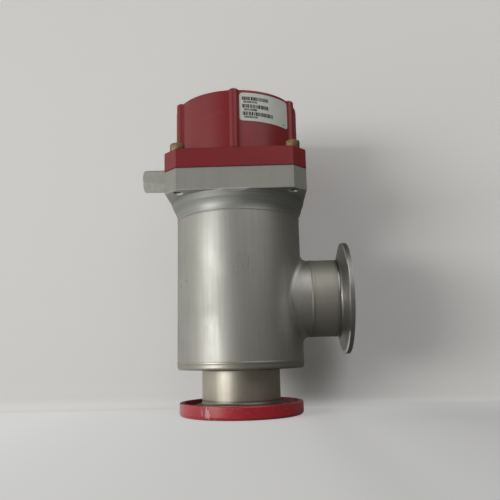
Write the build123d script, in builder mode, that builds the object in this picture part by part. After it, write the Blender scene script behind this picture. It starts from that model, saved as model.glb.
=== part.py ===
from build123d import *
import os
from math import cos, hypot, radians, sin, tan

os.makedirs("parts", exist_ok=True)

# Right-angle vacuum isolation valve, opened by air and closed by a spring.
# Millimetres, +Z up the valve's axis, origin at the middle of the cap's flat foot.

# Vacuum flanges and port tubes
flange_diameter = 55.0
flange_rim = 2.0
flange_taper = 15.0
flange_root_radius = 1.5
port_tube_diameter = 38.1
port_tube_wall = 1.65
recess_diameter = 41.2
recess_depth = 3.0
side_face_distance = 53.4
bottom_face_distance = 53.7
bottom_neck_length = 20.4

# Protective cap
cap_wall = 2.2
cap_floor = 1.5
cap_height = 6.2
cap_play = 0.3
cap_foot_radius = 1.5
cap_lip_radius = 0.5

# Welded body
body_diameter = 62.0
body_wall = 1.65
body_tube_length = 69.0
collar_reach = 3.8
collar_fillet = 3.0
end_plate_thickness = 3.5
end_plate_corner = 1.8
socket_depth = 2.0
weld_gap = 0.05
weld_leg = 0.9
bead_width = 1.4
bead_height = 0.15
seat_height = 2.0
seat_width = 5.6

# Square body flange with its round hub
hub_overhang = 0.15
plate_inset = 0.45
square_corner = 6.3
square_thickness = 10.9
edge_break = 0.35
hub_height = 9.3
hub_neck = 1.6
hub_band = 2.9
hub_wall = 2.55
hub_band_taper = 1.2
bonnet_ledge = 1.9
bonnet_thickness = 8.0
bolt_margin = 6.15

# Cylinder
cylinder_base_thickness = 9.2
cylinder_height = 38.8
barrel_inset = 2.05
cylinder_wall = 4.1
cylinder_roof = 3.5
barrel_edge = 0.8
rib_count = 6
rib_width = 5.0
rib_reach = 2.0
rib_first_angle = 30.0

# Cap screws
screw_diameter = 4.0
screw_length = 16.0
screw_head_diameter = 7.0
screw_head_height = 4.0
screw_socket = 3.0
screw_play = 0.05
screw_edge = 0.4
screw_pocket_diameter = 5.4

# Stem, poppet and bellows
stem_diameter = 10.0
spigot_diameter = 8.0
stem_play = 0.06
stroke = 12.0
poppet_diameter = 48.0
poppet_thickness = 7.0
poppet_rise = 0.35
poppet_web = 4.0
poppet_screw_head = 10.4
poppet_screw_head_height = 2.8
poppet_screw_diameter = 5.0
poppet_screw_length = 14.0
collar_diameter = 21.0
collar_height = 4.0
bellows_crest = 33.0
bellows_wall = 0.3
bellows_convolutions = 12
cuff_length = 3.0
slip_gap = 0.05

# Piston, spring and guides
piston_rise = 6.4
piston_height = 12.0
piston_web = 4.5
piston_skirt = 3.7
piston_play = 0.3
guide_play = 0.06
guide_thickness = 1.2
guide_width = 2.6
guide_split = 1.5
washer_diameter = 16.0
washer_thickness = 1.6
nut_width = 13.0
nut_height = 6.5
spring_wire = 2.2
spring_diameter = 38.0
spring_turns = 5.5
bushing_wall = 2.4
bushing_length = 8.2
groove_play = 0.2

# Seal sections
seat_ring_section = 2.62
static_ring_section = 1.4
rod_ring_section = 2.1
seal_squeeze_gap = 0.03

# Air fitting
fitting_width = 11.1
fitting_length = 14.0
fitting_turn = 8.0
fitting_chamfer = 0.9
fitting_thread_diameter = 5.0
fitting_thread_length = 5.0
fitting_port_diameter = 8.6
fitting_port_depth = 9.5
fitting_passage = 2.6
fitting_height = 3.9
gasket_diameter = 9.0
gasket_thickness = 1.0

# Breather and label
breather_diameter = 8.0
breather_thickness = 2.0
breather_passage = 2.5
label_height = 14.2
label_span = 50.0
label_angle = 300.0
label_drop = 1.6
label_thickness = 0.15
label_corner = 1.6

# Levels and radii that follow from the sizes above
body_radius = body_diameter / 2
body_bore = body_radius - body_wall
bonnet_seat_diameter = 2 * (body_bore + bonnet_ledge)
hub_band_diameter = bonnet_seat_diameter + 2 * hub_wall
square_width = hub_band_diameter - 2 * hub_overhang
plate_depth = square_width - 2 * plate_inset
bolt_spacing = square_width - 2 * bolt_margin
barrel_diameter = square_width - 2 * barrel_inset
cylinder_bore = barrel_diameter - 2 * cylinder_wall
tube_radius = port_tube_diameter / 2
port_bore = tube_radius - port_tube_wall
flange_radius = flange_diameter / 2
taper_run = (flange_radius - tube_radius) * tan(radians(flange_taper))
face_level = cap_floor
side_port_level = face_level + bottom_face_distance
end_plate_level = face_level + bottom_neck_length
tube_level = end_plate_level + end_plate_thickness
seat_level = tube_level + seat_height
hub_level = tube_level + body_tube_length
square_level = hub_level + hub_height
joint_level = square_level + square_thickness
bonnet_level = joint_level - bonnet_thickness
base_level = joint_level + cylinder_base_thickness
roof_level = joint_level + cylinder_height
ceiling_level = roof_level - cylinder_roof
socket_radius = tube_radius + weld_gap
collar_end = body_radius + collar_reach
poppet_level = seat_level + poppet_rise
poppet_top = poppet_level + poppet_thickness
stem_radius = stem_diameter / 2
spigot_radius = spigot_diameter / 2
piston_level = joint_level + piston_rise
piston_floor = piston_level + piston_web
piston_radius = cylinder_bore / 2 - piston_play
barrel_radius = barrel_diameter / 2
pocket_radius = stem_radius + bushing_wall + slip_gap
ring_room = rod_ring_section + 2 * groove_play


def ring(section, radius, level):
    """Draw the round section of a sealing ring at its radius and height."""
    with Locations((radius, level)):
        Circle(section / 2)


def flange_stub(face, length, end_bead):
    """Turn a clamp flange with its length of tube; the face plane's X runs back along the tube."""
    taper_end = flange_rim + taper_run
    with BuildPart() as stub:
        with BuildSketch(face):
            with BuildLine():
                front = Polyline(
                    (recess_depth, port_bore),
                    (recess_depth, recess_diameter / 2),
                    (0, recess_diameter / 2),
                    (0, flange_radius),
                    (flange_rim, flange_radius),
                    (taper_end, tube_radius),
                    (length - bead_width, tube_radius),
                )
                ThreePointArc(
                    front @ 1,
                    (length - bead_width / 2, tube_radius + end_bead),
                    (length, tube_radius),
                )
                Polyline((length, tube_radius), (length, port_bore), front @ 0)
            make_face()
        revolve(axis=Axis(face.origin, face.x_dir))
        root = stub.edges().filter_by(GeomType.CIRCLE).filter_by(
            lambda edge: abs((edge.arc_center - face.origin).dot(face.x_dir) - taper_end) < edge_break
        )
        fillet(root, flange_root_radius)
    return stub


# Square body flange, machined with its hub and welded to the tube
with BuildPart() as body_flange:
    with BuildSketch(Plane.XY.offset(hub_level)) as square_outline:
        Rectangle(square_width, plate_depth)
        chamfer(square_outline.vertices(), square_corner)
    extrude(amount=hub_height + square_thickness)
    square_edges = body_flange.faces().sort_by(Axis.Z)[-1].edges()
    chamfer(square_edges, edge_break)
    with BuildSketch(Plane.XZ):
        with BuildLine():
            band_radius = hub_band_diameter / 2
            cove_top = (band_radius - hub_band_taper, square_level - hub_band)
            neck_top = (body_radius, hub_level + hub_neck)
            bead_top = (body_radius, hub_level + bead_width / 2)
            far = square_width
            Polyline(
                cove_top,
                (band_radius, square_level),
                (far, square_level),
                (far, hub_level),
                (body_radius, hub_level),
            )
            ThreePointArc(
                (body_radius, hub_level),
                (body_radius + bead_height, hub_level + bead_width / 4),
                bead_top,
            )
            Line(bead_top, neck_top)
            TangentArc(neck_top, cove_top, tangent=(0, 1))
        make_face()
    revolve(axis=Axis.Z, mode=Mode.SUBTRACT)
    underside = body_flange.edges().filter_by(GeomType.LINE).filter_by_position(
        Axis.Z, square_level - slip_gap, square_level + slip_gap
    )
    chamfer(underside, edge_break)
    with BuildSketch(Plane.XY.offset(hub_level)):
        Circle(body_bore)
    extrude(amount=hub_height + square_thickness, mode=Mode.SUBTRACT)
    with BuildSketch(Plane.XY.offset(bonnet_level)):
        Circle(bonnet_seat_diameter / 2)
    extrude(amount=bonnet_thickness, mode=Mode.SUBTRACT)
    with Locations(Plane(origin=(0, 0, square_level), z_dir=(0, 0, -1))):
        with GridLocations(bolt_spacing, bolt_spacing, 2, 2):
            CounterSinkHole(
                radius=screw_diameter / 2 + screw_play,
                counter_sink_radius=screw_pocket_diameter / 2,
                depth=square_thickness,
            )
body_flange.part.label = "body_flange"
export_step(body_flange.part, "parts/body_flange.step")

# Body tube with the collar that was pulled out of its side
with BuildPart() as body_tube:
    with BuildSketch(Plane.XY.offset(tube_level)):
        Circle(body_radius)
    extrude(amount=body_tube_length)
    with BuildSketch(Plane.YZ):
        with Locations((0, side_port_level)):
            Circle(tube_radius)
    extrude(amount=collar_end)
    round_or_straight = (GeomType.CIRCLE, GeomType.LINE)
    saddle = body_tube.edges().filter_by(lambda edge: edge.geom_type not in round_or_straight)
    fillet(saddle, collar_fillet)
    with BuildSketch(Plane.XY.offset(tube_level)):
        Circle(body_bore)
    extrude(amount=body_tube_length, mode=Mode.SUBTRACT)
    with BuildSketch(Plane.YZ):
        with Locations((0, side_port_level)):
            Circle(port_bore)
    extrude(amount=collar_end, mode=Mode.SUBTRACT)
body_tube.part.label = "body_tube"
export_step(body_tube.part, "parts/body_tube.step")

# End plate with the raised seat, its weld bead and the socket for the bottom tube
with BuildPart() as end_plate:
    with BuildSketch(Plane.XZ):
        with BuildLine():
            inside = Polyline(
                (socket_radius, end_plate_level + socket_depth),
                (port_bore, end_plate_level + socket_depth),
                (port_bore, seat_level),
                (port_bore + seat_width, seat_level),
                (port_bore + seat_width, tube_level),
                (body_radius, tube_level),
            )
            bead_foot = (body_radius, tube_level - bead_width)
            ThreePointArc(
                inside @ 1,
                (body_radius + bead_height, tube_level - bead_width / 2),
                bead_foot,
            )
            wall_foot = (body_radius, end_plate_level + end_plate_corner / 2)
            Line(bead_foot, wall_foot)
            corner = (body_radius - end_plate_corner, end_plate_level)
            TangentArc(wall_foot, corner, tangent=(0, -1))
            Polyline(
                corner,
                (socket_radius + weld_leg, end_plate_level),
                (socket_radius, end_plate_level - weld_leg),
                inside @ 0,
            )
        make_face()
    revolve(axis=Axis.Z)
end_plate.part.label = "end_plate"
export_step(end_plate.part, "parts/end_plate.step")

# Flanged tubes of the two ports
bottom_face = Plane(origin=(0, 0, face_level), x_dir=(0, 0, 1), z_dir=(0, 1, 0))
bottom_stub = flange_stub(bottom_face, bottom_neck_length + socket_depth, 0.5 * weld_gap)
bottom_stub.part.label = "bottom_stub"
export_step(bottom_stub.part, "parts/bottom_stub.step")

side_face = Plane(origin=(side_face_distance, 0, side_port_level), x_dir=(-1, 0, 0), z_dir=(0, 1, 0))
side_stub = flange_stub(side_face, side_face_distance - collar_end, bead_height)
side_stub.part.label = "side_stub"
export_step(side_stub.part, "parts/side_stub.step")

# Cap pushed over the bottom flange, on which the valve stands
with BuildPart() as protective_cap:
    cap_bore = flange_radius + cap_play
    cap_radius = cap_bore + cap_wall
    with BuildSketch(Plane.XZ):
        with BuildLine():
            foot = Polyline((0, cap_floor), (0, 0), (cap_radius - cap_foot_radius, 0))
            wall_start = (cap_radius, cap_foot_radius)
            TangentArc(foot @ 1, wall_start, tangent=(1, 0))
            lip_start = (cap_radius, cap_height - cap_lip_radius)
            Line(wall_start, lip_start)
            lip_top = (cap_radius - cap_lip_radius, cap_height)
            TangentArc(lip_start, lip_top, tangent=(0, 1))
            Polyline(lip_top, (cap_bore, cap_height), (cap_bore, cap_floor), (0, cap_floor))
        make_face()
    revolve(axis=Axis.Z)
protective_cap.part.label = "protective_cap"
export_step(protective_cap.part, "parts/protective_cap.step")

# Bonnet, with the collar for the bellows below and the stem's bearing inside
bonnet_radius = bonnet_seat_diameter / 2 - 2 * slip_gap
seal_depth = static_ring_section + slip_gap
seal_width = static_ring_section + 2 * groove_play
joint_ring_radius = (cylinder_bore + seal_width) / 2 + body_wall / 2
collar_radius = collar_diameter / 2
lip_level = bonnet_level - collar_height + bushing_length + ring_room
with BuildPart() as bonnet:
    with BuildSketch(Plane.XZ):
        Polygon(
            (pocket_radius, bonnet_level - collar_height),
            (collar_radius, bonnet_level - collar_height),
            (collar_radius, bonnet_level),
            (bonnet_radius - seal_width, bonnet_level),
            (bonnet_radius - seal_width, bonnet_level + seal_depth),
            (bonnet_radius, bonnet_level + seal_depth),
            (bonnet_radius, joint_level),
            (joint_ring_radius + seal_width / 2, joint_level),
            (joint_ring_radius + seal_width / 2, joint_level - seal_depth),
            (joint_ring_radius - seal_width / 2, joint_level - seal_depth),
            (joint_ring_radius - seal_width / 2, joint_level),
            (stem_radius + piston_play, joint_level),
            (stem_radius + piston_play, lip_level),
            (pocket_radius, lip_level),
            align=None,
        )
    revolve(axis=Axis.Z)
bonnet.part.label = "bonnet"
export_step(bonnet.part, "parts/bonnet.step")

with BuildPart() as bonnet_seal:
    with BuildSketch(Plane.XZ):
        ring(static_ring_section, bonnet_radius - seal_width / 2, bonnet_level + seal_depth / 2)
    revolve(axis=Axis.Z)
bonnet_seal.part.label = "bonnet_seal"
export_step(bonnet_seal.part, "parts/bonnet_seal.step")

with BuildPart() as cylinder_seal:
    with BuildSketch(Plane.XZ):
        ring(static_ring_section, joint_ring_radius, joint_level - seal_depth / 2)
    revolve(axis=Axis.Z)
cylinder_seal.part.label = "cylinder_seal"
export_step(cylinder_seal.part, "parts/cylinder_seal.step")

with BuildPart() as stem_bushing:
    with BuildSketch(Plane.XY.offset(bonnet_level - collar_height)):
        Circle(pocket_radius - slip_gap)
        Circle(stem_radius + stem_play, mode=Mode.SUBTRACT)
    extrude(amount=bushing_length)
stem_bushing.part.label = "stem_bushing"
export_step(stem_bushing.part, "parts/stem_bushing.step")

stem_seal_radius = pocket_radius - slip_gap - rod_ring_section / 2
with BuildPart() as stem_seal:
    with BuildSketch(Plane.XZ):
        ring(rod_ring_section, stem_seal_radius, lip_level - ring_room / 2)
    revolve(axis=Axis.Z)
stem_seal.part.label = "stem_seal"
export_step(stem_seal.part, "parts/stem_seal.step")

# Cylinder cast in one with its square base and six half-round ribs
with BuildPart() as cylinder:
    with BuildSketch(Plane.XY.offset(joint_level)) as base_outline:
        Rectangle(square_width, square_width)
        chamfer(base_outline.vertices(), square_corner)
    extrude(amount=cylinder_base_thickness)
    chamfer(cylinder.faces().sort_by(Axis.Z)[-1].edges(), edge_break)
    with BuildSketch(Plane.XY.offset(base_level)):
        Circle(barrel_radius)
        with PolarLocations(barrel_radius + rib_reach - rib_width / 2, rib_count, rib_first_angle):
            Circle(rib_width / 2)
    extrude(amount=cylinder_height - cylinder_base_thickness)
    chamfer(cylinder.faces().sort_by(Axis.Z)[-1].edges(), barrel_edge / 2)
    with BuildSketch(Plane.XY.offset(joint_level)):
        Circle(cylinder_bore / 2)
    extrude(amount=ceiling_level - joint_level, mode=Mode.SUBTRACT)
    with Locations(Plane.XY.offset(base_level)):
        with GridLocations(bolt_spacing, bolt_spacing, 2, 2):
            Hole(screw_diameter / 2 + groove_play, depth=cylinder_base_thickness)
    with BuildSketch(Plane.YZ.offset(-square_width)):
        with Locations((0, joint_level + fitting_height)):
            Circle(fitting_thread_diameter / 2 + screw_play)
    extrude(amount=square_width - cylinder_bore / 2 + fitting_thread_diameter, mode=Mode.SUBTRACT)
    with Locations((0, 0, roof_level)):
        CounterBoreHole(
            radius=breather_passage / 2,
            counter_bore_radius=breather_diameter / 2 + slip_gap,
            counter_bore_depth=breather_thickness,
            depth=cylinder_roof,
        )
cylinder.part.label = "cylinder"
export_step(cylinder.part, "parts/cylinder.step")

with BuildPart() as breather:
    with BuildSketch(Plane.XY.offset(roof_level - breather_thickness)):
        Circle(breather_diameter / 2)
    extrude(amount=breather_thickness)
breather.part.label = "breather"
export_step(breather.part, "parts/breather.step")

# Four socket head screws through the cylinder's base into the body flange
with BuildPart() as cap_screws:
    with BuildSketch(Plane.XY.offset(base_level)):
        with GridLocations(bolt_spacing, bolt_spacing, 2, 2):
            Circle(screw_head_diameter / 2)
    extrude(amount=screw_head_height)
    chamfer(cap_screws.faces().filter_by(Plane.XY).group_by(Axis.Z)[-1].edges(), screw_edge)
    with BuildSketch(Plane.XY.offset(base_level + screw_head_height)):
        with GridLocations(bolt_spacing, bolt_spacing, 2, 2):
            RegularPolygon(screw_socket / 2, 6, major_radius=False)
    extrude(amount=-screw_head_height / 2, mode=Mode.SUBTRACT)
    with BuildSketch(Plane.XY.offset(base_level)):
        with GridLocations(bolt_spacing, bolt_spacing, 2, 2):
            Circle(screw_diameter / 2)
    extrude(amount=-screw_length)
    chamfer(cap_screws.faces().filter_by(Plane.XY).group_by(Axis.Z)[0].edges(), screw_edge)
cap_screws.part.label = "cap_screws"
export_step(cap_screws.part, "parts/cap_screws.step")

# Hexagonal air fitting on the left side of the cylinder's base
fitting_level = joint_level + fitting_height
wall_x = -square_width / 2
inner_end = wall_x - gasket_thickness
outer_end = inner_end - fitting_length
corner_reach = fitting_width / 2 / cos(radians(30))
fitting_seat = Plane(origin=(inner_end, 0, fitting_level), x_dir=(0, 1, 0), z_dir=(-1, 0, 0))
with BuildPart() as air_fitting:
    with BuildSketch(fitting_seat):
        RegularPolygon(fitting_width / 2, 6, major_radius=False, rotation=fitting_turn + 30)
    extrude(amount=fitting_length)
    with BuildSketch(Plane.XZ):
        Polygon(
            (inner_end, fitting_level),
            (inner_end, fitting_level + corner_reach),
            (outer_end + fitting_chamfer, fitting_level + corner_reach),
            (outer_end, fitting_level + fitting_width / 2 - fitting_chamfer / 4),
            (outer_end, fitting_level),
            align=None,
        )
    revolve(axis=Axis((0, 0, fitting_level), (1, 0, 0)), mode=Mode.INTERSECT)
    with BuildSketch(fitting_seat):
        Circle(fitting_thread_diameter / 2)
    extrude(amount=-fitting_thread_length - gasket_thickness)
    with Locations(fitting_seat.offset(fitting_length)):
        CounterBoreHole(
            radius=fitting_passage / 2,
            counter_bore_radius=fitting_port_diameter / 2,
            counter_bore_depth=fitting_port_depth,
            depth=fitting_length + fitting_thread_length + gasket_thickness,
        )
air_fitting.part.label = "air_fitting"
export_step(air_fitting.part, "parts/air_fitting.step")

with BuildPart() as fitting_gasket:
    with BuildSketch(fitting_seat):
        Circle(gasket_diameter / 2)
        Circle(fitting_thread_diameter / 2 + slip_gap, mode=Mode.SUBTRACT)
    extrude(amount=-gasket_thickness)
fitting_gasket.part.label = "fitting_gasket"
export_step(fitting_gasket.part, "parts/fitting_gasket.step")

# Stem, from the poppet up through the bonnet to the piston's nut
stem_foot = poppet_level + poppet_screw_head_height + slip_gap
stem_shoulder = stem_foot + poppet_web
stem_end = piston_floor + washer_thickness + nut_height + edge_break
with BuildPart() as stem:
    with BuildSketch(Plane.XZ):
        Polygon(
            (0, stem_foot),
            (spigot_radius, stem_foot),
            (spigot_radius, stem_shoulder),
            (stem_radius, stem_shoulder),
            (stem_radius, piston_level),
            (spigot_radius, piston_level),
            (spigot_radius, stem_end - edge_break),
            (spigot_radius - edge_break, stem_end),
            (0, stem_end),
            align=None,
        )
    revolve(axis=Axis.Z)
    with BuildSketch(Plane.XY.offset(stem_foot)):
        Circle(poppet_screw_diameter / 2 + screw_play)
    extrude(amount=poppet_screw_length, mode=Mode.SUBTRACT)
stem.part.label = "stem"
export_step(stem.part, "parts/stem.step")

# Poppet with its ring groove below and the bellows collar above
poppet_radius = poppet_diameter / 2
seat_ring_radius = port_bore + seat_width / 2
groove_half = seat_ring_section / 2 + groove_play
groove_roof = seat_level + seal_squeeze_gap + seat_ring_section + slip_gap
with BuildPart() as poppet:
    with BuildSketch(Plane.XZ):
        Polygon(
            (poppet_screw_head / 2 + groove_play, poppet_level),
            (seat_ring_radius - groove_half, poppet_level),
            (seat_ring_radius - groove_half, groove_roof),
            (seat_ring_radius + groove_half, groove_roof),
            (seat_ring_radius + groove_half, poppet_level),
            (poppet_radius - edge_break, poppet_level),
            (poppet_radius, poppet_level + edge_break),
            (poppet_radius, poppet_top - edge_break),
            (poppet_radius - edge_break, poppet_top),
            (collar_radius, poppet_top),
            (collar_radius, poppet_top + collar_height),
            (stem_radius + slip_gap, poppet_top + collar_height),
            (stem_radius + slip_gap, stem_shoulder),
            (spigot_radius + slip_gap, stem_shoulder),
            (spigot_radius + slip_gap, stem_foot),
            (poppet_screw_head / 2 + groove_play, stem_foot),
            align=None,
        )
    revolve(axis=Axis.Z)
poppet.part.label = "poppet"
export_step(poppet.part, "parts/poppet.step")

with BuildPart() as poppet_seal:
    with BuildSketch(Plane.XZ):
        ring(seat_ring_section, seat_ring_radius, seat_level + seal_squeeze_gap + seat_ring_section / 2)
    revolve(axis=Axis.Z)
poppet_seal.part.label = "poppet_seal"
export_step(poppet_seal.part, "parts/poppet_seal.step")

with BuildPart() as poppet_screw:
    with BuildSketch(Plane.XY.offset(stem_foot)):
        Circle(poppet_screw_head / 2)
    extrude(amount=-poppet_screw_head_height)
    with BuildSketch(Plane.XY.offset(stem_foot)):
        Circle(poppet_screw_diameter / 2)
    extrude(amount=poppet_screw_length - screw_play)
    with BuildSketch(Plane.XY.offset(stem_foot - poppet_screw_head_height)):
        RegularPolygon(screw_socket / 2, 6, major_radius=False)
    extrude(amount=poppet_screw_head_height / 2, mode=Mode.SUBTRACT)
poppet_screw.part.label = "poppet_screw"
export_step(poppet_screw.part, "parts/poppet_screw.step")

# Bellows between the poppet's collar and the bonnet's collar
cuff_bore = collar_radius + slip_gap
fold_start = poppet_top + groove_play + cuff_length
fold_end = bonnet_level - groove_play - cuff_length
fold_pitch = (fold_end - fold_start) / bellows_convolutions
crest_radius = bellows_crest / 2
fold_flank = hypot(crest_radius - cuff_bore, fold_pitch / 2)
fold_shift = bellows_wall * fold_flank / (fold_pitch / 2)
root_radius = cuff_bore + fold_shift
outer_fold = [(root_radius, fold_start - cuff_length), (root_radius, fold_start)]
for turn in range(bellows_convolutions):
    outer_fold.append((crest_radius, fold_start + (turn + 0.5) * fold_pitch))
    outer_fold.append((root_radius, fold_start + (turn + 1) * fold_pitch))
outer_fold.append((root_radius, fold_end + cuff_length))
inner_fold = [(radius - fold_shift, level) for radius, level in reversed(outer_fold)]
with BuildPart() as bellows:
    with BuildSketch(Plane.XZ):
        Polygon(*outer_fold, *inner_fold, align=None)
    revolve(axis=Axis.Z)
bellows.part.label = "bellows"
export_step(bellows.part, "parts/bellows.step")

# Piston with one groove for its seal and one for its guide ring
seal_groove = piston_level + piston_web / 2
seal_groove_radius = piston_radius - rod_ring_section
guide_level = piston_level + piston_height - guide_width - ring_room / 2
with BuildPart() as piston:
    with BuildSketch(Plane.XZ):
        Polygon(
            (spigot_radius + slip_gap, piston_level),
            (piston_radius - edge_break, piston_level),
            (piston_radius, piston_level + edge_break),
            (piston_radius, seal_groove - ring_room / 2),
            (seal_groove_radius, seal_groove - ring_room / 2),
            (seal_groove_radius, seal_groove + ring_room / 2),
            (piston_radius, seal_groove + ring_room / 2),
            (piston_radius, guide_level - slip_gap),
            (piston_radius - guide_thickness, guide_level - slip_gap),
            (piston_radius - guide_thickness, guide_level + guide_width + slip_gap),
            (piston_radius, guide_level + guide_width + slip_gap),
            (piston_radius, piston_level + piston_height),
            (piston_radius - piston_skirt, piston_level + piston_height),
            (piston_radius - piston_skirt, piston_floor),
            (spigot_radius + slip_gap, piston_floor),
            align=None,
        )
    revolve(axis=Axis.Z)
piston.part.label = "piston"
export_step(piston.part, "parts/piston.step")

with BuildPart() as piston_seal:
    with BuildSketch(Plane.XZ):
        ring(rod_ring_section, seal_groove_radius + slip_gap + rod_ring_section / 2, seal_groove)
    revolve(axis=Axis.Z)
piston_seal.part.label = "piston_seal"
export_step(piston_seal.part, "parts/piston_seal.step")

with BuildPart() as guide_ring:
    with BuildSketch(Plane.XY.offset(guide_level)):
        Circle(cylinder_bore / 2 - guide_play)
        Circle(piston_radius - guide_thickness + slip_gap, mode=Mode.SUBTRACT)
        with Locations((0, piston_radius)):
            Rectangle(guide_split, 4 * guide_thickness, mode=Mode.SUBTRACT)
    extrude(amount=guide_width)
guide_ring.part.label = "guide_ring"
export_step(guide_ring.part, "parts/guide_ring.step")

with BuildPart() as piston_washer:
    with BuildSketch(Plane.XY.offset(piston_floor)):
        Circle(washer_diameter / 2)
        Circle(spigot_radius + slip_gap, mode=Mode.SUBTRACT)
    extrude(amount=washer_thickness)
piston_washer.part.label = "piston_washer"
export_step(piston_washer.part, "parts/piston_washer.step")

with BuildPart() as piston_nut:
    with BuildSketch(Plane.XY.offset(piston_floor + washer_thickness)):
        RegularPolygon(nut_width / 2, 6, major_radius=False)
        Circle(spigot_radius + slip_gap, mode=Mode.SUBTRACT)
    extrude(amount=nut_height)
piston_nut.part.label = "piston_nut"
export_step(piston_nut.part, "parts/piston_nut.step")

# Return spring with ground ends, between the piston and the cylinder's roof
coil_height = ceiling_level - piston_floor
with BuildPart() as return_spring:
    with BuildLine() as coil:
        Helix(coil_height / spring_turns, coil_height, spring_diameter / 2, center=(0, 0, piston_floor))
    with BuildSketch(Plane(origin=coil.line @ 0, z_dir=coil.line % 0)):
        Circle(spring_wire / 2)
    sweep()
    with BuildSketch(Plane.XY.offset(piston_floor)):
        Circle(spring_diameter)
    extrude(amount=coil_height, mode=Mode.INTERSECT)
return_spring.part.label = "return_spring"
export_step(return_spring.part, "parts/return_spring.step")

# Label wrapped on the barrel between two ribs
label_inner = barrel_radius + slip_gap / 2
label_outer = label_inner + label_thickness
label_top = roof_level - label_drop
label_width = 2 * label_outer * sin(radians(label_span / 2))
label_direction = (cos(radians(label_angle)), sin(radians(label_angle)), 0)
label_plane = Plane(
    origin=(0, 0, label_top - label_height / 2),
    x_dir=(-label_direction[1], label_direction[0], 0),
    z_dir=label_direction,
)
with BuildPart() as label:
    with BuildSketch(Plane.XY.offset(label_top - label_height)):
        Circle(label_outer)
        Circle(label_inner, mode=Mode.SUBTRACT)
    extrude(amount=label_height)
    with BuildSketch(label_plane):
        RectangleRounded(label_width, label_height, label_corner)
    extrude(amount=barrel_diameter, mode=Mode.INTERSECT)
label.part.label = "label"
export_step(label.part, "parts/label.step")
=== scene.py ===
import math
import random

import bmesh
import bpy
from mathutils import Matrix, Vector

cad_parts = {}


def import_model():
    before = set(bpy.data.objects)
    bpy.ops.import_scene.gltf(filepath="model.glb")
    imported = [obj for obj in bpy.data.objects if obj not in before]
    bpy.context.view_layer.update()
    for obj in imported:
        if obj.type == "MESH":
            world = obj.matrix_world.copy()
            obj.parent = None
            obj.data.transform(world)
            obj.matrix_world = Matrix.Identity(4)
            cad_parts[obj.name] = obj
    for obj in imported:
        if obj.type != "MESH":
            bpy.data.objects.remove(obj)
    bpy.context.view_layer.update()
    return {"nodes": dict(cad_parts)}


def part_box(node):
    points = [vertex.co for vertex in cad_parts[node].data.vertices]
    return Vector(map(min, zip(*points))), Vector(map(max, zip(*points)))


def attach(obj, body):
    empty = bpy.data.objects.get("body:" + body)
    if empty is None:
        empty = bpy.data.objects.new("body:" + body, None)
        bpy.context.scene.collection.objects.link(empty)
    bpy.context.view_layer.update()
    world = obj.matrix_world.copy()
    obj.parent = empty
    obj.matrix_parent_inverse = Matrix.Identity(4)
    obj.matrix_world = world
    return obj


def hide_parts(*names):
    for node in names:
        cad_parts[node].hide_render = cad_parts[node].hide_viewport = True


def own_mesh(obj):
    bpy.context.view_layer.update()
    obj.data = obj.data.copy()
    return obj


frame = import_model()
nodes = frame["nodes"]
scene = bpy.context.scene
scene.view_settings.view_transform = "Standard"
mm = 0.001


# ---------------------------------------------------------------- camera
def photo_camera():
    """The camera that was fitted to the edges measured in the photograph."""
    yaw, pitch, roll = (math.radians(a) for a in (-1.019, 10.551, -1.302))
    ahead = Vector((math.sin(yaw) * math.cos(pitch), math.cos(yaw) * math.cos(pitch), math.sin(pitch)))
    right0 = Vector((math.cos(yaw), -math.sin(yaw), 0))
    up0 = right0.cross(ahead)
    right = right0 * math.cos(roll) + up0 * math.sin(roll)
    up = up0 * math.cos(roll) - right0 * math.sin(roll)
    data = bpy.data.cameras.new("photo_camera")
    data.sensor_fit = "HORIZONTAL"
    data.sensor_width = 36
    data.lens = 36 * 560.25 / 500
    data.clip_start = 0.01
    data.clip_end = 20
    cam = bpy.data.objects.new("photo_camera", data)
    cam.matrix_world = Matrix.Translation((0.01072, -0.2815, 0.02839)) @ Matrix(
        (right, up, -ahead)
    ).transposed().to_4x4()
    scene.collection.objects.link(cam)
    scene.camera = cam


photo_camera()


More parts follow.
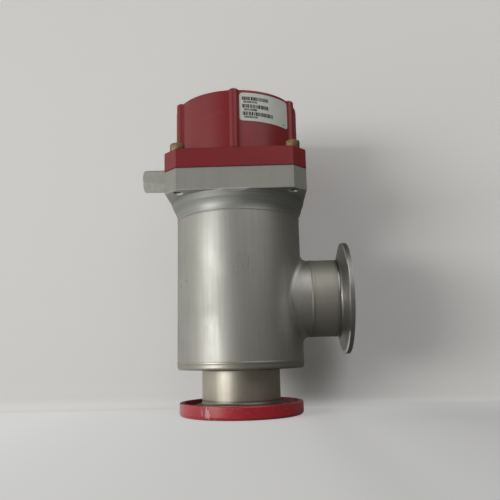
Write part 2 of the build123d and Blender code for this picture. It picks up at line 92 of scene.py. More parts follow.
# ---------------------------------------------------------------- node helpers
class Net:
    """Short calls for building one material's nodes."""

    def __init__(self, name):
        self.mat = bpy.data.materials.new(name)
        self.mat.use_nodes = True
        self.tree = self.mat.node_tree
        self.tree.nodes.clear()
        self.out = self.add("ShaderNodeOutputMaterial")
        self.place = self.add("ShaderNodeTexCoord").outputs["Object"]

    def add(self, kind, **settings):
        node = self.tree.nodes.new(kind)
        for key, value in settings.items():
            setattr(node, key, value)
        return node

    def link(self, a, b):
        self.tree.links.new(a, b)

    def put(self, socket, value):
        if isinstance(value, bpy.types.NodeSocket):
            self.link(value, socket)
        else:
            socket.default_value = value

    def mapped(self, scale=(1, 1, 1), rotation=(0, 0, 0), location=(0, 0, 0)):
        node = self.add("ShaderNodeMapping")
        node.inputs["Scale"].default_value = scale
        node.inputs["Rotation"].default_value = rotation
        node.inputs["Location"].default_value = location
        self.link(self.place, node.inputs["Vector"])
        return node.outputs["Vector"]

    def noise(self, scale, detail=3.0, rough=0.55, vector=None, distortion=0.0):
        node = self.add("ShaderNodeTexNoise")
        node.inputs["Scale"].default_value = scale
        node.inputs["Detail"].default_value = detail
        node.inputs["Roughness"].default_value = rough
        node.inputs["Distortion"].default_value = distortion
        self.link(vector or self.place, node.inputs["Vector"])
        return node.outputs["Fac"]

    def voronoi(self, scale, vector=None, feature="F1"):
        node = self.add("ShaderNodeTexVoronoi", feature=feature)
        node.inputs["Scale"].default_value = scale
        self.link(vector or self.place, node.inputs["Vector"])
        return node.outputs["Distance"]

    def remap(self, value, a, b, c=0.0, d=1.0, smooth=True):
        node = self.add("ShaderNodeMapRange")
        node.interpolation_type = "SMOOTHSTEP" if smooth else "LINEAR"
        self.put(node.inputs["Value"], value)
        node.inputs["From Min"].default_value = a
        node.inputs["From Max"].default_value = b
        node.inputs["To Min"].default_value = c
        node.inputs["To Max"].default_value = d
        return node.outputs["Result"]

    def math(self, operation, a, b=0.5, c=None):
        node = self.add("ShaderNodeMath", operation=operation)
        self.put(node.inputs[0], a)
        self.put(node.inputs[1], b)
        if c is not None:
            self.put(node.inputs[2], c)
        return node.outputs[0]

    def mix(self, factor, a, b, blend="MIX"):
        node = self.add("ShaderNodeMix", data_type="RGBA", blend_type=blend)
        self.put(node.inputs[0], factor)
        self.put(node.inputs[6], a)
        self.put(node.inputs[7], b)
        return node.outputs[2]

    def bump(self, height, strength, distance, normal=None):
        node = self.add("ShaderNodeBump")
        node.inputs["Strength"].default_value = strength
        node.inputs["Distance"].default_value = distance
        self.link(height, node.inputs["Height"])
        if normal is not None:
            self.link(normal, node.inputs["Normal"])
        return node.outputs["Normal"]

    def shader(self, **inputs):
        node = self.add("ShaderNodeBsdfPrincipled")
        for key, value in inputs.items():
            self.put(node.inputs[key.replace("_", " ")], value)
        self.link(node.outputs["BSDF"], self.out.inputs["Surface"])
        return node

    def axis(self, letter):
        node = self.add("ShaderNodeSeparateXYZ")
        self.link(self.place, node.inputs[0])
        return node.outputs[letter]


def srgb(r, g, b):
    """A colour measured from 0 to 255, as Blender's linear colour."""
    out = []
    for c in (r, g, b):
        c = c / 255
        out.append(c / 12.92 if c <= 0.04045 else ((c + 0.055) / 1.055) ** 2.4)
    return (*out, 1.0)


# ---------------------------------------------------------------- materials
def steel(name, base, dark, rough, streak=(900, 900, 30), streak_depth=0.25, stains=0.3, metallic=1.0, foot=None, scuffed=None):
    """Satin steel: fine brushing along one axis, cloudy stains and a few handling specks, with painted shade below an
    optional height.
    """
    n = Net(name)
    lines = n.noise(1.0, 4.0, 0.6, n.mapped(streak))
    cloud = n.remap(n.noise(38, 4.0, 0.6), 0.35, 0.72)
    fine = n.noise(420, 3.0, 0.6)
    specks = n.remap(n.voronoi(130), 0.05, 0.14, 1.0, 0.0)
    rare = n.math("MULTIPLY", specks, n.remap(n.noise(60, 2.0), 0.6, 0.7))
    tone = n.mix(n.math("MULTIPLY", cloud, stains), base, dark)
    tone = n.mix(n.math("MULTIPLY", n.remap(lines, 0.3, 0.7), streak_depth), tone, dark)
    tone = n.mix(n.math("MULTIPLY", rare, 0.45), tone, srgb(70, 62, 50))
    if scuffed:
        off_x = n.math("SUBTRACT", n.axis("X"), scuffed[0])
        off_z = n.math("SUBTRACT", n.axis("Z"), scuffed[1])
        away = n.math("SQRT", n.math("ADD", n.math("MULTIPLY", off_x, off_x), n.math("MULTIPLY", off_z, off_z)))
        patch = n.math("MULTIPLY", n.remap(away, 0.007, 0.003), n.remap(n.axis("Y"), -0.02, -0.025))
        nicks = n.remap(n.noise(700, 3.0, 0.6, n.mapped((1, 1, 0.45)), 1.5), 0.58, 0.64)
        tone = n.mix(n.math("MULTIPLY", n.math("MULTIPLY", patch, nicks), 0.4), tone, srgb(92, 84, 78))
    # Painted shade: darker below the given height, where the cap shades the neck's foot.
    if foot:
        tone = n.mix(n.remap(n.axis("Z"), foot, foot - 0.0006, 0.0, 0.55), tone, srgb(106, 102, 92))
    r = n.math("ADD", n.math("MULTIPLY", lines, 0.12), rough - 0.06)
    r = n.math("ADD", r, n.math("MULTIPLY", cloud, 0.07))
    height = n.math("ADD", n.math("MULTIPLY", lines, 0.7), n.math("MULTIPLY", fine, 0.3))
    n.shader(Base_Color=tone, Metallic=metallic, Roughness=r, Normal=n.bump(height, 0.25, 0.00006))
    return n.mat


def port_metal():
    """Side port: tube brushed along its length, flange turned smoother and darker, with a painted highlight round the
    rim's edge.
    """
    n = Net("port_steel")
    lines = n.noise(1.0, 4.0, 0.6, n.mapped((30, 900, 900)))
    rings = n.noise(1.0, 4.0, 0.6, n.mapped((2600, 25, 25)))
    cloud = n.remap(n.noise(38, 4.0, 0.6), 0.35, 0.72)
    flange = n.remap(n.axis("X"), 0.0462, 0.0472)
    seam = n.math("MULTIPLY", n.remap(n.axis("X"), 0.0372, 0.0366), n.remap(n.axis("X"), 0.0345, 0.035))
    grain = n.mix(flange, lines, rings)
    tone = n.mix(n.math("MULTIPLY", cloud, 0.3), srgb(190, 188, 177), srgb(158, 154, 142))
    tone = n.mix(n.math("MULTIPLY", n.remap(grain, 0.3, 0.7), 0.2), tone, srgb(150, 147, 136))
    tone = n.mix(n.math("MULTIPLY", seam, 0.15), tone, srgb(120, 112, 96))
    tone = n.mix(n.math("MULTIPLY", flange, 0.55), tone, srgb(150, 149, 149))
    # Painted highlight: a bright line round the flange's rim edge, which is also made smoother.
    edge = n.math("MULTIPLY", n.remap(n.axis("X"), 0.0509, 0.0512), n.remap(n.axis("X"), 0.0517, 0.0514))
    tone = n.mix(n.math("MULTIPLY", edge, 0.8), tone, srgb(236, 236, 232))
    root = n.math("MULTIPLY", n.remap(n.axis("X"), 0.0475, 0.0478), n.remap(n.axis("X"), 0.0488, 0.0485))
    rough = n.math("ADD", n.math("MULTIPLY", cloud, 0.07), 0.55)
    rough = n.math("SUBTRACT", rough, n.math("MULTIPLY", flange, 0.08))
    rough = n.math("SUBTRACT", rough, n.math("MULTIPLY", n.math("MAXIMUM", edge, root), 0.26))
    n.shader(Base_Color=tone, Metallic=1.0, Roughness=rough, Normal=n.bump(grain, 0.25, 0.00006))
    return n.mat


def turned(name, base, dark, rough, axis_letter="Z"):
    """Turned steel with lines round one axis."""
    scale = {"Z": (25, 25, 2600), "X": (2600, 25, 25)}[axis_letter]
    return steel(name, base, dark, rough, scale, 0.3, 0.25)


def flange_grey():
    """Square flange: matt blasted sides above, machined hub and underside, bright thread chamfers, a painted highlight
    along the underside edges and painted shade inside the thread holes.
    """
    n = Net("flange_grey")
    grain = n.noise(1500, 3.0, 0.7)
    pits = n.voronoi(900)
    cloud = n.remap(n.noise(26, 4.0, 0.6), 0.35, 0.7)
    streak = n.noise(1.0, 4.0, 0.6, n.mapped((260, 260, 12)))
    lathe = n.noise(1.0, 4.0, 0.6, n.mapped((20, 20, 2600)))
    below = n.remap(n.axis("Z"), 0.10385, 0.10375, 0.0, 1.0)
    off_x = n.math("SUBTRACT", n.math("ABSOLUTE", n.axis("X")), 0.0275)
    off_y = n.math("SUBTRACT", n.math("ABSOLUTE", n.axis("Y")), 0.0275)
    reach = n.math("SQRT", n.math("ADD", n.math("MULTIPLY", off_x, off_x), n.math("MULTIPLY", off_y, off_y)))
    shaded_hole_mouth = n.math("MULTIPLY", n.remap(reach, 0.0029, 0.0028), n.remap(n.axis("Z"), 0.1046, 0.1045))
    hole = n.math("MULTIPLY", shaded_hole_mouth, n.remap(reach, 0.0021, 0.0022))
    matt = n.mix(n.math("MULTIPLY", cloud, 0.35), srgb(184, 184, 176), srgb(166, 166, 158))
    matt = n.mix(n.math("MULTIPLY", n.remap(grain, 0.35, 0.65), 0.12), matt, srgb(120, 118, 108))
    matt = n.mix(n.math("MULTIPLY", n.remap(streak, 0.4, 0.7), 0.12), matt, srgb(140, 150, 140))
    cut = n.mix(n.math("MULTIPLY", n.remap(lathe, 0.3, 0.7), 0.45), srgb(190, 191, 186), srgb(134, 134, 129))
    cut = n.mix(n.math("MULTIPLY", cloud, 0.3), cut, srgb(150, 150, 142))
    tone = n.mix(below, matt, cut)
    # Painted highlight: a bright line along the chamfered edges of the underside.
    painted_edge_highlight = n.math("MULTIPLY", n.remap(n.axis("Z"), 0.1041, 0.10405), n.remap(n.axis("Z"), 0.10369, 0.10374))
    tone = n.mix(n.math("MULTIPLY", painted_edge_highlight, 0.8), tone, srgb(232, 232, 224))
    # Painted shade: the thread holes are dark inside, as if in shadow; the chamfer ring round them stays bright.
    tone = n.mix(shaded_hole_mouth, tone, srgb(70, 66, 58))
    tone = n.mix(hole, tone, srgb(238, 238, 231))
    metal = n.math("MAXIMUM", n.math("ADD", n.math("MULTIPLY", below, 0.6), 0.35), hole)
    rough = n.math("SUBTRACT", n.math("ADD", n.math("MULTIPLY", cloud, 0.06), 0.5), n.math("MULTIPLY", below, 0.02))
    rough = n.math("SUBTRACT", rough, n.math("MULTIPLY", hole, 0.22))
    height = n.math("ADD", grain, n.math("MULTIPLY", pits, 0.5))
    height = n.math("ADD", n.math("MULTIPLY", height, n.math("SUBTRACT", 1.0, below)), n.math("MULTIPLY", lathe, below))
    n.shader(Base_Color=tone, Metallic=metal, Roughness=rough, Normal=n.bump(height, 0.35, 0.00005))
    return n.mat


def red_coat():
    """Matt red coat on a casting: fine orange peel, duller and darker in patches, with painted shade along the top of
    the base and the foot of the barrel.
    """
    n = Net("red_coat")
    peel = n.noise(900, 2.0, 0.5)
    cloud = n.remap(n.noise(30, 4.0, 0.6), 0.35, 0.7)
    scuff = n.remap(n.noise(1.0, 3.0, 0.6, n.mapped((60, 60, 260))), 0.62, 0.72)
    # Painted shade along the top of the base and the foot of the barrel, where they meet.
    painted_corner_shade = n.math("MULTIPLY", n.remap(n.axis("Z"), 0.1252, 0.1238), n.remap(n.axis("Z"), 0.1232, 0.1237))
    tone = n.mix(cloud, srgb(160, 44, 50), srgb(146, 43, 49))
    tone = n.mix(n.math("MULTIPLY", scuff, 0.18), tone, srgb(172, 88, 90))
    tone = n.mix(n.math("MULTIPLY", painted_corner_shade, 0.3), tone, srgb(84, 24, 30))
    n.shader(
        Base_Color=tone,
        Roughness=n.math("ADD", n.math("MULTIPLY", cloud, 0.08), 0.32),
        Specular_IOR_Level=0.6,
        Normal=n.bump(peel, 0.25, 0.00008),
    )
    return n.mat


def red_plastic():
    """Glossy red plastic of the cap, scratched white on its front."""
    n = Net("red_plastic")
    flow = n.noise(30, 3.0, 0.5)
    rubbed = n.remap(n.noise(1.0, 4.0, 0.65, n.mapped((220, 220, 900))), 0.6, 0.74)
    cuts = n.remap(n.noise(1.0, 2.0, 0.5, n.mapped((700, 700, 140), (0, 0.5, 0))), 0.6, 0.66)
    aside = n.math("ABSOLUTE", n.math("ADD", n.axis("X"), 0.0145))
    place = n.math("MULTIPLY", n.remap(aside, 0.006, 0.003), n.remap(n.axis("Y"), -0.015, -0.02))
    cuts = n.math("MULTIPLY", cuts, place)
    tone = n.mix(n.remap(flow, 0.3, 0.7), srgb(214, 40, 56), srgb(198, 34, 50))
    tone = n.mix(n.math("MULTIPLY", rubbed, 0.3), tone, srgb(226, 120, 140))
    tone = n.mix(n.math("MULTIPLY", cuts, 0.7), tone, srgb(240, 190, 200))
    n.shader(
        Base_Color=tone,
        Roughness=n.math("ADD", n.math("MULTIPLY", rubbed, 0.2), 0.26),
        Specular_IOR_Level=0.6,
        Coat_Weight=1.0,
        Coat_Roughness=0.32,
        Subsurface_Weight=0.08,
        Subsurface_Radius=(0.004, 0.001, 0.001),
        Normal=n.bump(n.math("ADD", flow, cuts), 0.1, 0.0002),
    )
    return n.mat


def yellow_zinc():
    """Yellow zinc plate, uneven and a little rusty in patches."""
    n = Net("yellow_zinc")
    cloud = n.remap(n.noise(260, 4.0, 0.6), 0.35, 0.7)
    patch = n.remap(n.noise(500, 3.0, 0.6), 0.6, 0.75)
    tone = n.mix(cloud, srgb(158, 136, 98), srgb(132, 112, 84))
    tone = n.mix(n.math("MULTIPLY", patch, 0.6), tone, srgb(96, 74, 50))
    n.shader(
        Base_Color=tone,
        Metallic=0.85,
        Roughness=n.math("ADD", n.math("MULTIPLY", cloud, 0.12), 0.36),
        Normal=n.bump(n.noise(1800, 3.0), 0.3, 0.00004),
    )
    return n.mat


def plain(name, a, b, rough, metallic=0.0, scale=300, bump=0.2, **extra):
    """A quiet material: two close tones, fine grain."""
    n = Net(name)
    grain = n.noise(scale, 4.0, 0.6)
    tone = n.mix(n.remap(grain, 0.3, 0.7), a, b)
    n.shader(
        Base_Color=tone,
        Metallic=metallic,
        Roughness=n.math("ADD", n.math("MULTIPLY", grain, 0.12), rough - 0.06),
        Normal=n.bump(n.noise(scale * 5, 3.0), bump, 0.00005),
        **extra,
    )
    return n.mat


def dress(node, material):
    mesh = nodes[node].data
    mesh.materials.clear()
    mesh.materials.append(material)
    for face in mesh.polygons:
        face.material_index = 0


tube_steel = steel("tube_steel", srgb(196, 195, 188), srgb(166, 165, 156), 0.46, scuffed=(0.003, 0.069))
port_steel = port_metal()
# The neck gets painted shade below 7.8 mm, inside the cap.
neck_steel = steel("neck_steel", srgb(206, 201, 187), srgb(172, 165, 146), 0.42, foot=0.0078)
plate_steel = turned("plate_steel", srgb(190, 187, 176), srgb(150, 147, 136), 0.38)
inner_steel = turned("inner_steel", srgb(186, 184, 178), srgb(140, 138, 132), 0.3)
bellows_steel = steel("bellows_steel", srgb(190, 186, 176), srgb(150, 144, 132), 0.26)
nickel = plain("satin_nickel", srgb(224, 224, 215), srgb(210, 210, 201), 0.42, 0.7, 400)
rubber = plain("black_rubber", srgb(24, 24, 25), srgb(38, 38, 38), 0.6, 0.0, 500, 0.3)
bronze = plain("sintered_bronze", srgb(176, 128, 72), srgb(132, 92, 52), 0.5, 0.9, 900, 0.5)
guide_white = plain("white_plastic", srgb(222, 218, 206), srgb(206, 202, 190), 0.45, 0.0, 200, 0.1)
turned_aluminium = turned("turned_aluminium", srgb(205, 205, 202), srgb(168, 168, 165), 0.34)
spring_wire = plain("spring_wire", srgb(118, 118, 116), srgb(88, 88, 86), 0.34, 1.0, 300, 0.2)
label_film = plain("label_film", srgb(246, 248, 240), srgb(236, 239, 229), 0.42, 0.0, 120, 0.06)
bar_ink = plain("bar_ink", srgb(26, 26, 28), srgb(38, 38, 40), 0.5, 0.0, 600, 0.05)
zinc = yellow_zinc()

finish = {
    "air_fitting": nickel,
    "bellows": bellows_steel,
    "body_flange": flange_grey(),
    "body_tube": tube_steel,
    "bonnet": inner_steel,
    "bonnet_seal": rubber,
    "bottom_stub": neck_steel,
    "breather": bronze,
    "cap_screws": zinc,
    "cylinder": red_coat(),
    "cylinder_seal": rubber,
    "end_plate": plate_steel,
    "fitting_gasket": rubber,
    "guide_ring": guide_white,
    "label": label_film,
    "piston": turned_aluminium,
    "piston_nut": zinc,
    "piston_seal": rubber,
    "piston_washer": zinc,
    "poppet": inner_steel,
    "poppet_screw": inner_steel,
    "poppet_seal": rubber,
    "protective_cap": red_plastic(),
    "return_spring": spring_wire,
    "side_stub": port_steel,
    "stem": inner_steel,
    "stem_bushing": bronze,
    "stem_seal": rubber,
}
for node_name, material in finish.items():
    dress(node_name, material)

for node_name in ("side_stub", "bottom_stub"):
    soften = nodes[node_name].modifiers.new("edge", "BEVEL")
    soften.width = 0.3 * mm
    soften.segments = 3
    soften.limit_method = "ANGLE"
    soften.angle_limit = math.radians(50)


# ---------------------------------------------------------------- pieces made here
def piece(name, bm, material, body="valve", smooth=True):
    """Turns a bmesh into a piece that rides on a body."""
    bmesh.ops.recalc_face_normals(bm, faces=bm.faces)
    mesh = bpy.data.meshes.new(name)
    bm.to_mesh(mesh)
    bm.free()
    for face in mesh.polygons:
        face.use_smooth = smooth
    obj = bpy.data.objects.new(name, mesh)
    scene.collection.objects.link(obj)
    mesh.materials.append(material)
    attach(obj, body)
    return obj


def turn(bm, profile, segments=96, closed=True):
    """Sweeps a closed profile of (radius, height) round Z."""
    rings = []
    for i in range(segments):
        a = 2 * math.pi * i / segments
        rings.append([bm.verts.new((r * math.cos(a), r * math.sin(a), z)) for r, z in profile])
    count = len(profile)
    for i in range(segments):
        here, there = rings[i], rings[(i + 1) % segments]
        for k in range(count if closed else count - 1):
            m = (k + 1) % count
            bm.faces.new((here[k], there[k], there[m], here[m]))


def make_bellows():
    """Formed bellows with round crests and roots, inside the CAD bellows' own outline."""
    low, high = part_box("bellows")
    cuff, folds, crest, root, wall = 3.0 * mm, 12, 16.5 * mm, 11.0 * mm, 0.3 * mm
    start, end = low.z + cuff, high.z - cuff
    pitch = (end - start) / folds
    outer = [(root, low.z), (root, start)]
    steps = 14
    for i in range(folds):
        for k in range(1, steps + 1):
            t = k / steps
            swell = 0.5 - 0.5 * math.cos(2 * math.pi * t)
            swell = swell ** 0.8
            outer.append((root + (crest - root) * swell, start + (i + t) * pitch))
    outer.append((root, high.z))
    inner = [(r - wall if r > root + wall else r - wall, z) for r, z in reversed(outer)]
    bm = bmesh.new()
    turn(bm, outer + inner, 96)
    obj = piece("bellows_folds", bm, bellows_steel)
    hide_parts("bellows")
    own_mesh(obj)


def make_spring():
    """Coil spring with closed, ground ends."""
    low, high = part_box("return_spring")
    wire, mean = 1.1 * mm, 19.0 * mm
    turns, around, per_turn = 5.5, 16, 48
    count = int(turns * per_turn)
    bm = bmesh.new()
    rings = []
    for i in range(count + 1):
        t = i / count
        a = 2 * math.pi * turns * t
        z = low.z + (high.z - low.z) * t
        centre = Vector((mean * math.cos(a), mean * math.sin(a), z))
        out = Vector((math.cos(a), math.sin(a), 0))
        ring = []
        for k in range(around):
            b = 2 * math.pi * k / around
            p = centre + out * (wire * math.cos(b)) + Vector((0, 0, wire * math.sin(b)))
            p.z = min(max(p.z, low.z), high.z)
            ring.append(bm.verts.new(p))
        rings.append(ring)
    for i in range(count):
        for k in range(around):
            m = (k + 1) % around
            bm.faces.new((rings[i][k], rings[i][m], rings[i + 1][m], rings[i + 1][k]))
    bm.faces.new(rings[0])
    bm.faces.new(list(reversed(rings[-1])))
    obj = piece("spring_coil", bm, spring_wire)
    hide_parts("return_spring")
    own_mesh(obj)


def make_screws():
    """Socket head screws with knurled heads, a chamfered hexagon socket and a threaded end."""
    bm = bmesh.new()
    head_z, top_z, tip_z = 123.8 * mm, 127.8 * mm, 107.8 * mm
    head_r, shank_r, ridges = 3.5 * mm, 2.0 * mm, 30
    segments = ridges * 4
    for sx in (-1, 1):
        for sy in (-1, 1):
            centre = Vector((27.5 * mm * sx, 27.5 * mm * sy, 0))
            spin = random.Random(10 + sx + 3 * sy).uniform(0, math.pi / 3)

            def circle(r, z, depth=0.0):
                ring = []
                for i in range(segments):
                    a = spin + 2 * math.pi * i / segments
                    rr = r - depth * (0.5 + 0.5 * math.cos(ridges * a))
                    ring.append(bm.verts.new(centre + Vector((rr * math.cos(a), rr * math.sin(a), z))))
                return ring

            def hexagon(width, z, sunk=False):
                ring = []
                for i in range(segments):
                    a = spin + 2 * math.pi * i / segments
                    local = (a - spin) % (math.pi / 3) - math.pi / 6
                    ring.append(
                        bm.verts.new(
                            centre
                            + Vector((width / 2 / math.cos(local) * math.cos(a), width / 2 / math.cos(local) * math.sin(a), z))
                        )
                    )
                return ring

            rings = [
                hexagon(2.6 * mm, top_z - 2.0 * mm),
                hexagon(3.0 * mm, top_z - 1.9 * mm),
                hexagon(3.0 * mm, top_z - 0.25 * mm),
                circle(1.95 * mm, top_z),
                circle(head_r - 0.4 * mm, top_z),
                circle(head_r - 0.25 * mm, top_z - 0.05 * mm),
                circle(head_r - 0.12 * mm, top_z - 0.15 * mm, 0.02 * mm),
                circle(head_r - 0.02 * mm, top_z - 0.3 * mm, 0.16 * mm),
                circle(head_r, top_z - 0.5 * mm, 0.2 * mm),
                circle(head_r, head_z + 0.35 * mm, 0.2 * mm),
                circle(head_r - 0.2 * mm, head_z + 0.1 * mm),
                circle(head_r - 0.4 * mm, head_z),
                circle(shank_r, head_z),
                circle(shank_r, tip_z + 6.0 * mm),
            ]
            z = tip_z + 6.0 * mm
            while z > tip_z + 1.0 * mm:
                rings.append(circle(shank_r - 0.3 * mm, z - 0.35 * mm))
                rings.append(circle(shank_r, z - 0.7 * mm))
                z -= 0.7 * mm
            rings.append(circle(shank_r - 0.5 * mm, tip_z))
            for here, there in zip(rings, rings[1:]):
                for k in range(segments):
                    m = (k + 1) % segments
                    bm.faces.new((here[k], here[m], there[m], there[k]))
            bm.faces.new(rings[0])
            bm.faces.new(list(reversed(rings[-1])))
    obj = piece("cap_screws_detail", bm, zinc)
    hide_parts("cap_screws")
    return obj


def label_bars():
    """Plain bars printed on the label: rows of short upright marks that spell nothing."""
    rng = random.Random(7)
    r = 31.78 * mm
    bm = bmesh.new()
    top = 151.8 * mm

    def block(a0, a1, z0, z1):
        steps = max(1, int((a1 - a0) / 1.2) + 1)
        last = None
        for i in range(steps + 1):
            a = math.radians(a0 + (a1 - a0) * i / steps)
            pair = (
                bm.verts.new((r * math.cos(a), r * math.sin(a), z0)),
                bm.verts.new((r * math.cos(a), r * math.sin(a), z1)),
            )
            if last:
                bm.faces.new((last[0], pair[0], pair[1], last[1]))
            last = pair

    rows = (
        (277.3, 301.6, 2.0, 1.8, 0.95),
        (278.6, 290.6, 4.1, 1.1, 0.7),
        (277.6, 302.0, 5.8, 1.9, 0.95),
        (278.8, 290.8, 8.0, 1.1, 0.7),
        (277.8, 306.4, 9.6, 1.9, 0.95),
        (279.2, 291.0, 11.8, 0.95, 0.7),
    )
    for start, stop, drop, height, wide in rows:
        a = start
        z1 = top - drop * mm
        while a < stop:
            width = wide * rng.choice((0.7, 1.0, 1.0, 1.5))
            block(a, min(a + width, stop), z1 - height * mm, z1)
            a += width + wide * rng.choice((0.3, 0.35, 0.5, 0.75))
    block(319.0, 320.2, top - 13.0 * mm, top - 12.3 * mm)
    obj = piece("label_bars", bm, bar_ink, smooth=False)
    return obj


make_bellows()
make_spring()
make_screws()
label_bars()


# ---------------------------------------------------------------- stage and light
def stage_material(name):
    """Pale paper, turned towards the window where it is looked at, so that floor and wall meet unseen; its glow is
    painted brighter on the left and darker in a patch under the side port, and what other rays see is painted darker to
    the right.
    """
    n = Net(name)
    light = n.add("ShaderNodeLightPath")
    seen = n.math("MAXIMUM", light.outputs["Is Camera Ray"], light.outputs["Is Transmission Ray"])
    # Painted shade and light for reflections: the paper that other rays see is darker to the right, as in the valve's
    # shadow, and glossy rays see it pale only on the left.
    left = n.remap(n.axis("X"), -0.06, 0.03, 1.0, 0.0)
    shine = n.math("MULTIPLY", n.math("MULTIPLY", light.outputs["Is Glossy Ray"], left), 0.7)
    seen = n.math("MAXIMUM", seen, shine)
    plain_paper = n.add("ShaderNodeBsdfDiffuse")
    n.put(plain_paper.inputs["Color"], n.mix(left, (0.26, 0.26, 0.25, 1), srgb(214, 213, 209)))
    turned_to = n.add("ShaderNodeCombineXYZ")
    for letter, value in (("X", -0.70), ("Y", -0.70), ("Z", 0.14)):
        turned_to.inputs[letter].default_value = value
    paper = n.add("ShaderNodeBsdfDiffuse")
    paper.inputs["Color"].default_value = (1.0, 0.99, 0.96, 1)
    n.link(turned_to.outputs[0], paper.inputs["Normal"])
    level = n.math("POWER", n.remap(n.axis("Z"), 0.0, 0.008, 1.0, 0.0, smooth=False), 2.0)
    level = n.math("MULTIPLY", level, n.remap(n.axis("Z"), 0.00005, 0.00015, 1.0, 0.8))
    # Painted light: the floor's glow near the wall is brighter on the left and dimmer on the right.
    painted_light_across = n.remap(n.axis("X"), -0.1, 0.1, 0.34, 0.12, smooth=False)
    lift = n.add("ShaderNodeEmission")
    # Painted light: the floor's foot glows a little more on the right, lifting the shadow there.
    foot = n.math("MULTIPLY", n.remap(n.axis("Z"), 0.0005, 0.004, 1.0, 0.0), n.remap(n.axis("X"), 0.0, 0.06, 0.0, 0.05))
    foot = n.math("MULTIPLY", foot, n.remap(n.axis("Y"), -0.04, 0.03))
    # Painted shadow: the wall glows less in a soft patch beside the body, under the side port.
    painted_shadow_x = n.math("DIVIDE", n.math("SUBTRACT", n.axis("X"), 0.037), 0.026)
    painted_shadow_z = n.math("DIVIDE", n.math("SUBTRACT", n.axis("Z"), 0.028), 0.034)
    painted_shadow = n.math("ADD", n.math("MULTIPLY", painted_shadow_x, painted_shadow_x), n.math("MULTIPLY", painted_shadow_z, painted_shadow_z))
    base = n.remap(painted_shadow, 0.0, 1.0, 0.02, 0.125)
    n.put(lift.inputs["Strength"], n.math("ADD", n.math("ADD", n.math("MULTIPLY", level, painted_light_across), foot), base))
    near = n.add("ShaderNodeAddShader")
    n.link(paper.outputs[0], near.inputs[0])
    n.link(lift.outputs[0], near.inputs[1])
    far = n.add("ShaderNodeEmission")
    far.inputs["Color"].default_value = srgb(199, 198, 194)
    spread = n.add("ShaderNodeVectorMath", operation="LENGTH")
    n.link(n.place, spread.inputs[0])
    shown = n.add("ShaderNodeMixShader")
    n.link(n.remap(spread.outputs["Value"], 0.2, 0.5), shown.inputs[0])
    n.link(near.outputs[0], shown.inputs[1])
    n.link(far.outputs[0], shown.inputs[2])
    mixer = n.add("ShaderNodeMixShader")
    n.link(seen, mixer.inputs[0])
    n.link(plain_paper.outputs[0], mixer.inputs[1])
    n.link(shown.outputs[0], mixer.inputs[2])
    behind = n.add("ShaderNodeMixShader")
    n.link(n.add("ShaderNodeNewGeometry").outputs["Backfacing"], behind.inputs[0])
    n.link(mixer.outputs[0], behind.inputs[1])
    n.link(n.add("ShaderNodeBsdfTransparent").outputs[0], behind.inputs[2])
    n.link(behind.outputs[0], n.out.inputs["Surface"])
    return n.mat


def stage_object(name, bm, material):
    mesh = bpy.data.meshes.new(name)
    bm.to_mesh(mesh)
    bm.free()
    for face in mesh.polygons:
        face.use_smooth = True
    obj = bpy.data.objects.new(name, mesh)
    mesh.materials.append(material)
    scene.collection.objects.link(obj)
    return obj


def stage_floor():
    """A pale floor."""
    bm = bmesh.new()
    bmesh.ops.create_circle(bm, cap_ends=True, segments=96, radius=6.0)
    stage_object("floor", bm, stage_material("pale_floor"))


def stage_sweep():
    """A pale wall with a round foot behind the valve, on which its shadow falls to the right."""
    wall_y, foot, reach = 45 * mm, 15 * mm, 4.0
    line = [(wall_y - foot, 0.2 * mm)]
    for i in range(1, 17):
        a = math.pi / 2 * i / 16
        line.append((wall_y - foot + foot * math.sin(a), 0.2 * mm + foot - foot * math.cos(a)))
    line.append((wall_y, reach))
    bm = bmesh.new()
    left = [bm.verts.new((-reach, y, z)) for y, z in line]
    right = [bm.verts.new((reach, y, z)) for y, z in line]
    for i in range(len(line) - 1):
        bm.faces.new((left[i], right[i], right[i + 1], left[i + 1]))
    sweep = stage_object("sweep", bm, stage_material("pale_wall"))
    for kind in ("diffuse", "glossy", "transmission", "volume_scatter", "shadow"):
        setattr(sweep, "visible_" + kind, False)


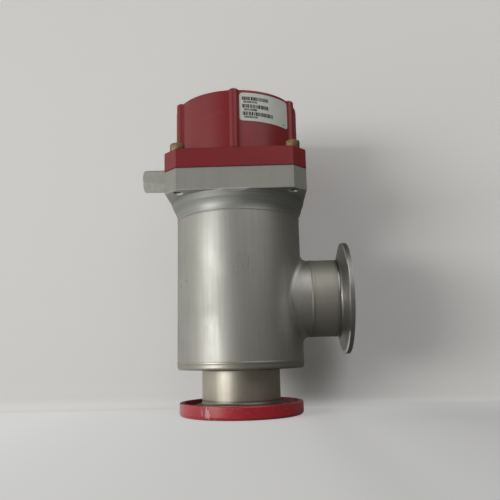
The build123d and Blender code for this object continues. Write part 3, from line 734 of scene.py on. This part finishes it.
def world():
    """Pale background; the same paleness lights the valve from the left, and the right is dim."""
    w = bpy.data.worlds.new("studio")
    w.use_nodes = True
    t = w.node_tree
    t.nodes.clear()

    def ranged(value, a, b, c, d):
        node = t.nodes.new("ShaderNodeMapRange")
        node.interpolation_type = "SMOOTHSTEP"
        for key, number in (("From Min", a), ("From Max", b), ("To Min", c), ("To Max", d)):
            node.inputs[key].default_value = number
        t.links.new(value, node.inputs["Value"])
        return node.outputs["Result"]

    def maths(operation, a, b=None):
        node = t.nodes.new("ShaderNodeMath")
        node.operation = operation
        t.links.new(a, node.inputs[0])
        if b is not None:
            t.links.new(b, node.inputs[1])
        return node.outputs[0]

    out = t.nodes.new("ShaderNodeOutputWorld")
    split = t.nodes.new("ShaderNodeSeparateXYZ")
    t.links.new(t.nodes.new("ShaderNodeTexCoord").outputs["Generated"], split.inputs[0])
    sideways = ranged(split.outputs["X"], -0.8, -0.2, 0.62, 0.08)
    upright = ranged(maths("ABSOLUTE", split.outputs["Z"]), 0.35, 0.95, 1.0, 0.6)
    light = t.nodes.new("ShaderNodeLightPath")
    seen = t.nodes.new("ShaderNodeBackground")
    seen.inputs["Color"].default_value = srgb(199, 198, 194)
    seen.inputs["Strength"].default_value = 1.0
    lit = t.nodes.new("ShaderNodeBackground")
    lit.inputs["Color"].default_value = (1.0, 0.99, 0.95, 1)
    t.links.new(maths("MULTIPLY", sideways, upright), lit.inputs["Strength"])
    mixer = t.nodes.new("ShaderNodeMixShader")
    shown = maths("MAXIMUM", light.outputs["Is Camera Ray"], light.outputs["Is Transmission Ray"])
    t.links.new(shown, mixer.inputs[0])
    t.links.new(lit.outputs[0], mixer.inputs[1])
    t.links.new(seen.outputs[0], mixer.inputs[2])
    t.links.new(mixer.outputs[0], out.inputs["Surface"])
    scene.world = w


def lamp(name, azimuth, elevation, distance, size, power, aim=(0, 0, 0.08), tall=None, colour=(1, 1, 1)):
    """A soft square lamp; azimuth 0 is in front of the valve, negative to the left."""
    a, e = math.radians(azimuth), math.radians(elevation)
    data = bpy.data.lights.new(name, "AREA")
    data.shape = "RECTANGLE" if tall else "SQUARE"
    data.size = size
    if tall:
        data.size_y = tall
    data.energy = power
    data.color = colour
    obj = bpy.data.objects.new(name, data)
    place = Vector((math.sin(a) * math.cos(e), -math.cos(a) * math.cos(e), math.sin(e))) * distance
    obj.location = Vector(aim) + place
    obj.rotation_mode = "QUATERNION"
    obj.rotation_quaternion = (-place).to_track_quat("-Z", "Y")
    scene.collection.objects.link(obj)
    return obj


stage_floor()
stage_sweep()
world()
lamp("window", -47, 2, 0.95, 0.42, 1.9, tall=0.22)
lamp("fill", 34, 46, 1.2, 1.2, 4.7)
